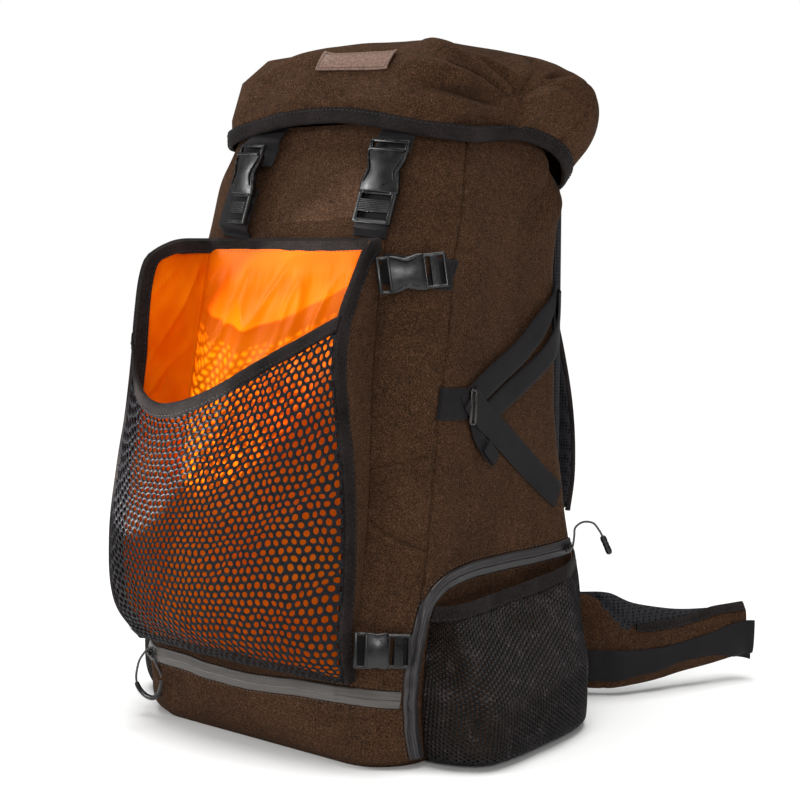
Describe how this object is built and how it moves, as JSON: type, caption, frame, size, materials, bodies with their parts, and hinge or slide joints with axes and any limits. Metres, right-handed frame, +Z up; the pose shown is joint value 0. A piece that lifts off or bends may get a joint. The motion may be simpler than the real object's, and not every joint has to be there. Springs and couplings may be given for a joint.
{
  "type": "rucksack",
  "caption": "Loden-brown hunting rucksack with an orange-lined net pouch, side-release buckles, stretch side pockets, padded shoulder straps and a finned hip belt",
  "frame": {"origin": "Middle of the flat base, on the floor, under the middle of the bag", "axes": "+X to the right as the pack is seen from its front, which is the wearer's right, +Y from the net pouch to the back panel and the wearer, +Z up"},
  "size_m": [0.5088, 0.4866, 0.5985],
  "materials": {
    "loden_wool": "felted loden wool cloth, dark brown",
    "black_tape": "woven black binding tape and webbing",
    "orange_satin": "shiny orange signal satin",
    "black_mesh": "black knitted netting",
    "brown_leather": "embossed brown leather, left blank",
    "black_plastic": "moulded black plastic, half gloss",
    "coated_zip": "grey coated zip tape",
    "padded_mesh": "black spacer mesh over foam"
  },
  "bodies": {
    "root": {"pack_body": "loden_wool", "lid": "loden_wool", "lid_binding": "black_tape", "lid_patch": "brown_leather", "lid_strap_left": "black_tape", "lid_strap_right": "black_tape", "lid_buckle_left_socket": "black_plastic", "lid_buckle_left_plug": "black_plastic", "lid_buckle_right_socket": "black_plastic", "lid_buckle_right_plug": "black_plastic", "front_strap_left": "black_tape", "front_strap_right": "black_tape", "pouch_shell": "loden_wool", "pouch_lining": "orange_satin", "pouch_net": "black_mesh", "pouch_frame_binding": "black_tape", "pouch_mouth_binding": "black_tape", "side_webbing_upper_left": "black_tape", "side_webbing_upper_right": "black_tape", "side_webbing_lower_left": "black_tape", "side_webbing_lower_right": "black_tape", "side_buckle_upper_left_socket": "black_plastic", "side_buckle_upper_left_plug": "black_plastic", "side_buckle_upper_right_socket": "black_plastic", "side_buckle_upper_right_plug": "black_plastic", "side_buckle_lower_left_socket": "black_plastic", "side_buckle_lower_left_plug": "black_plastic", "side_buckle_lower_right_socket": "black_plastic", "side_buckle_lower_right_plug": "black_plastic", "front_zip": "coated_zip", "side_zip_left": "coated_zip", "side_zip_right": "coated_zip", "side_pocket_left": "black_mesh", "side_pocket_right": "black_mesh", "side_pocket_binding_left": "black_tape", "side_pocket_binding_right": "black_tape", "cinch_loop_left": "black_tape", "cinch_loop_right": "black_tape", "cinch_strap_upper_left": "black_tape", "cinch_strap_upper_right": "black_tape", "cinch_strap_lower_left": "black_tape", "cinch_strap_lower_right": "black_tape", "cinch_tail_left": "black_tape", "cinch_tail_right": "black_tape", "back_panel": "padded_mesh", "shoulder_strap_left": "padded_mesh", "shoulder_strap_right": "padded_mesh", "strap_adjuster_left": "black_plastic", "strap_adjuster_right": "black_plastic", "strap_webbing_left": "black_tape", "strap_webbing_right": "black_tape", "haul_loop": "black_tape", "hip_belt": "loden_wool", "belt_webbing_left": "black_tape", "belt_webbing_right": "black_tape", "zip_cord_left": "black_tape", "zip_cord_right": "black_tape", "zip_grip_left": "black_plastic", "zip_grip_right": "black_plastic"}
  },
  "joints": []
}
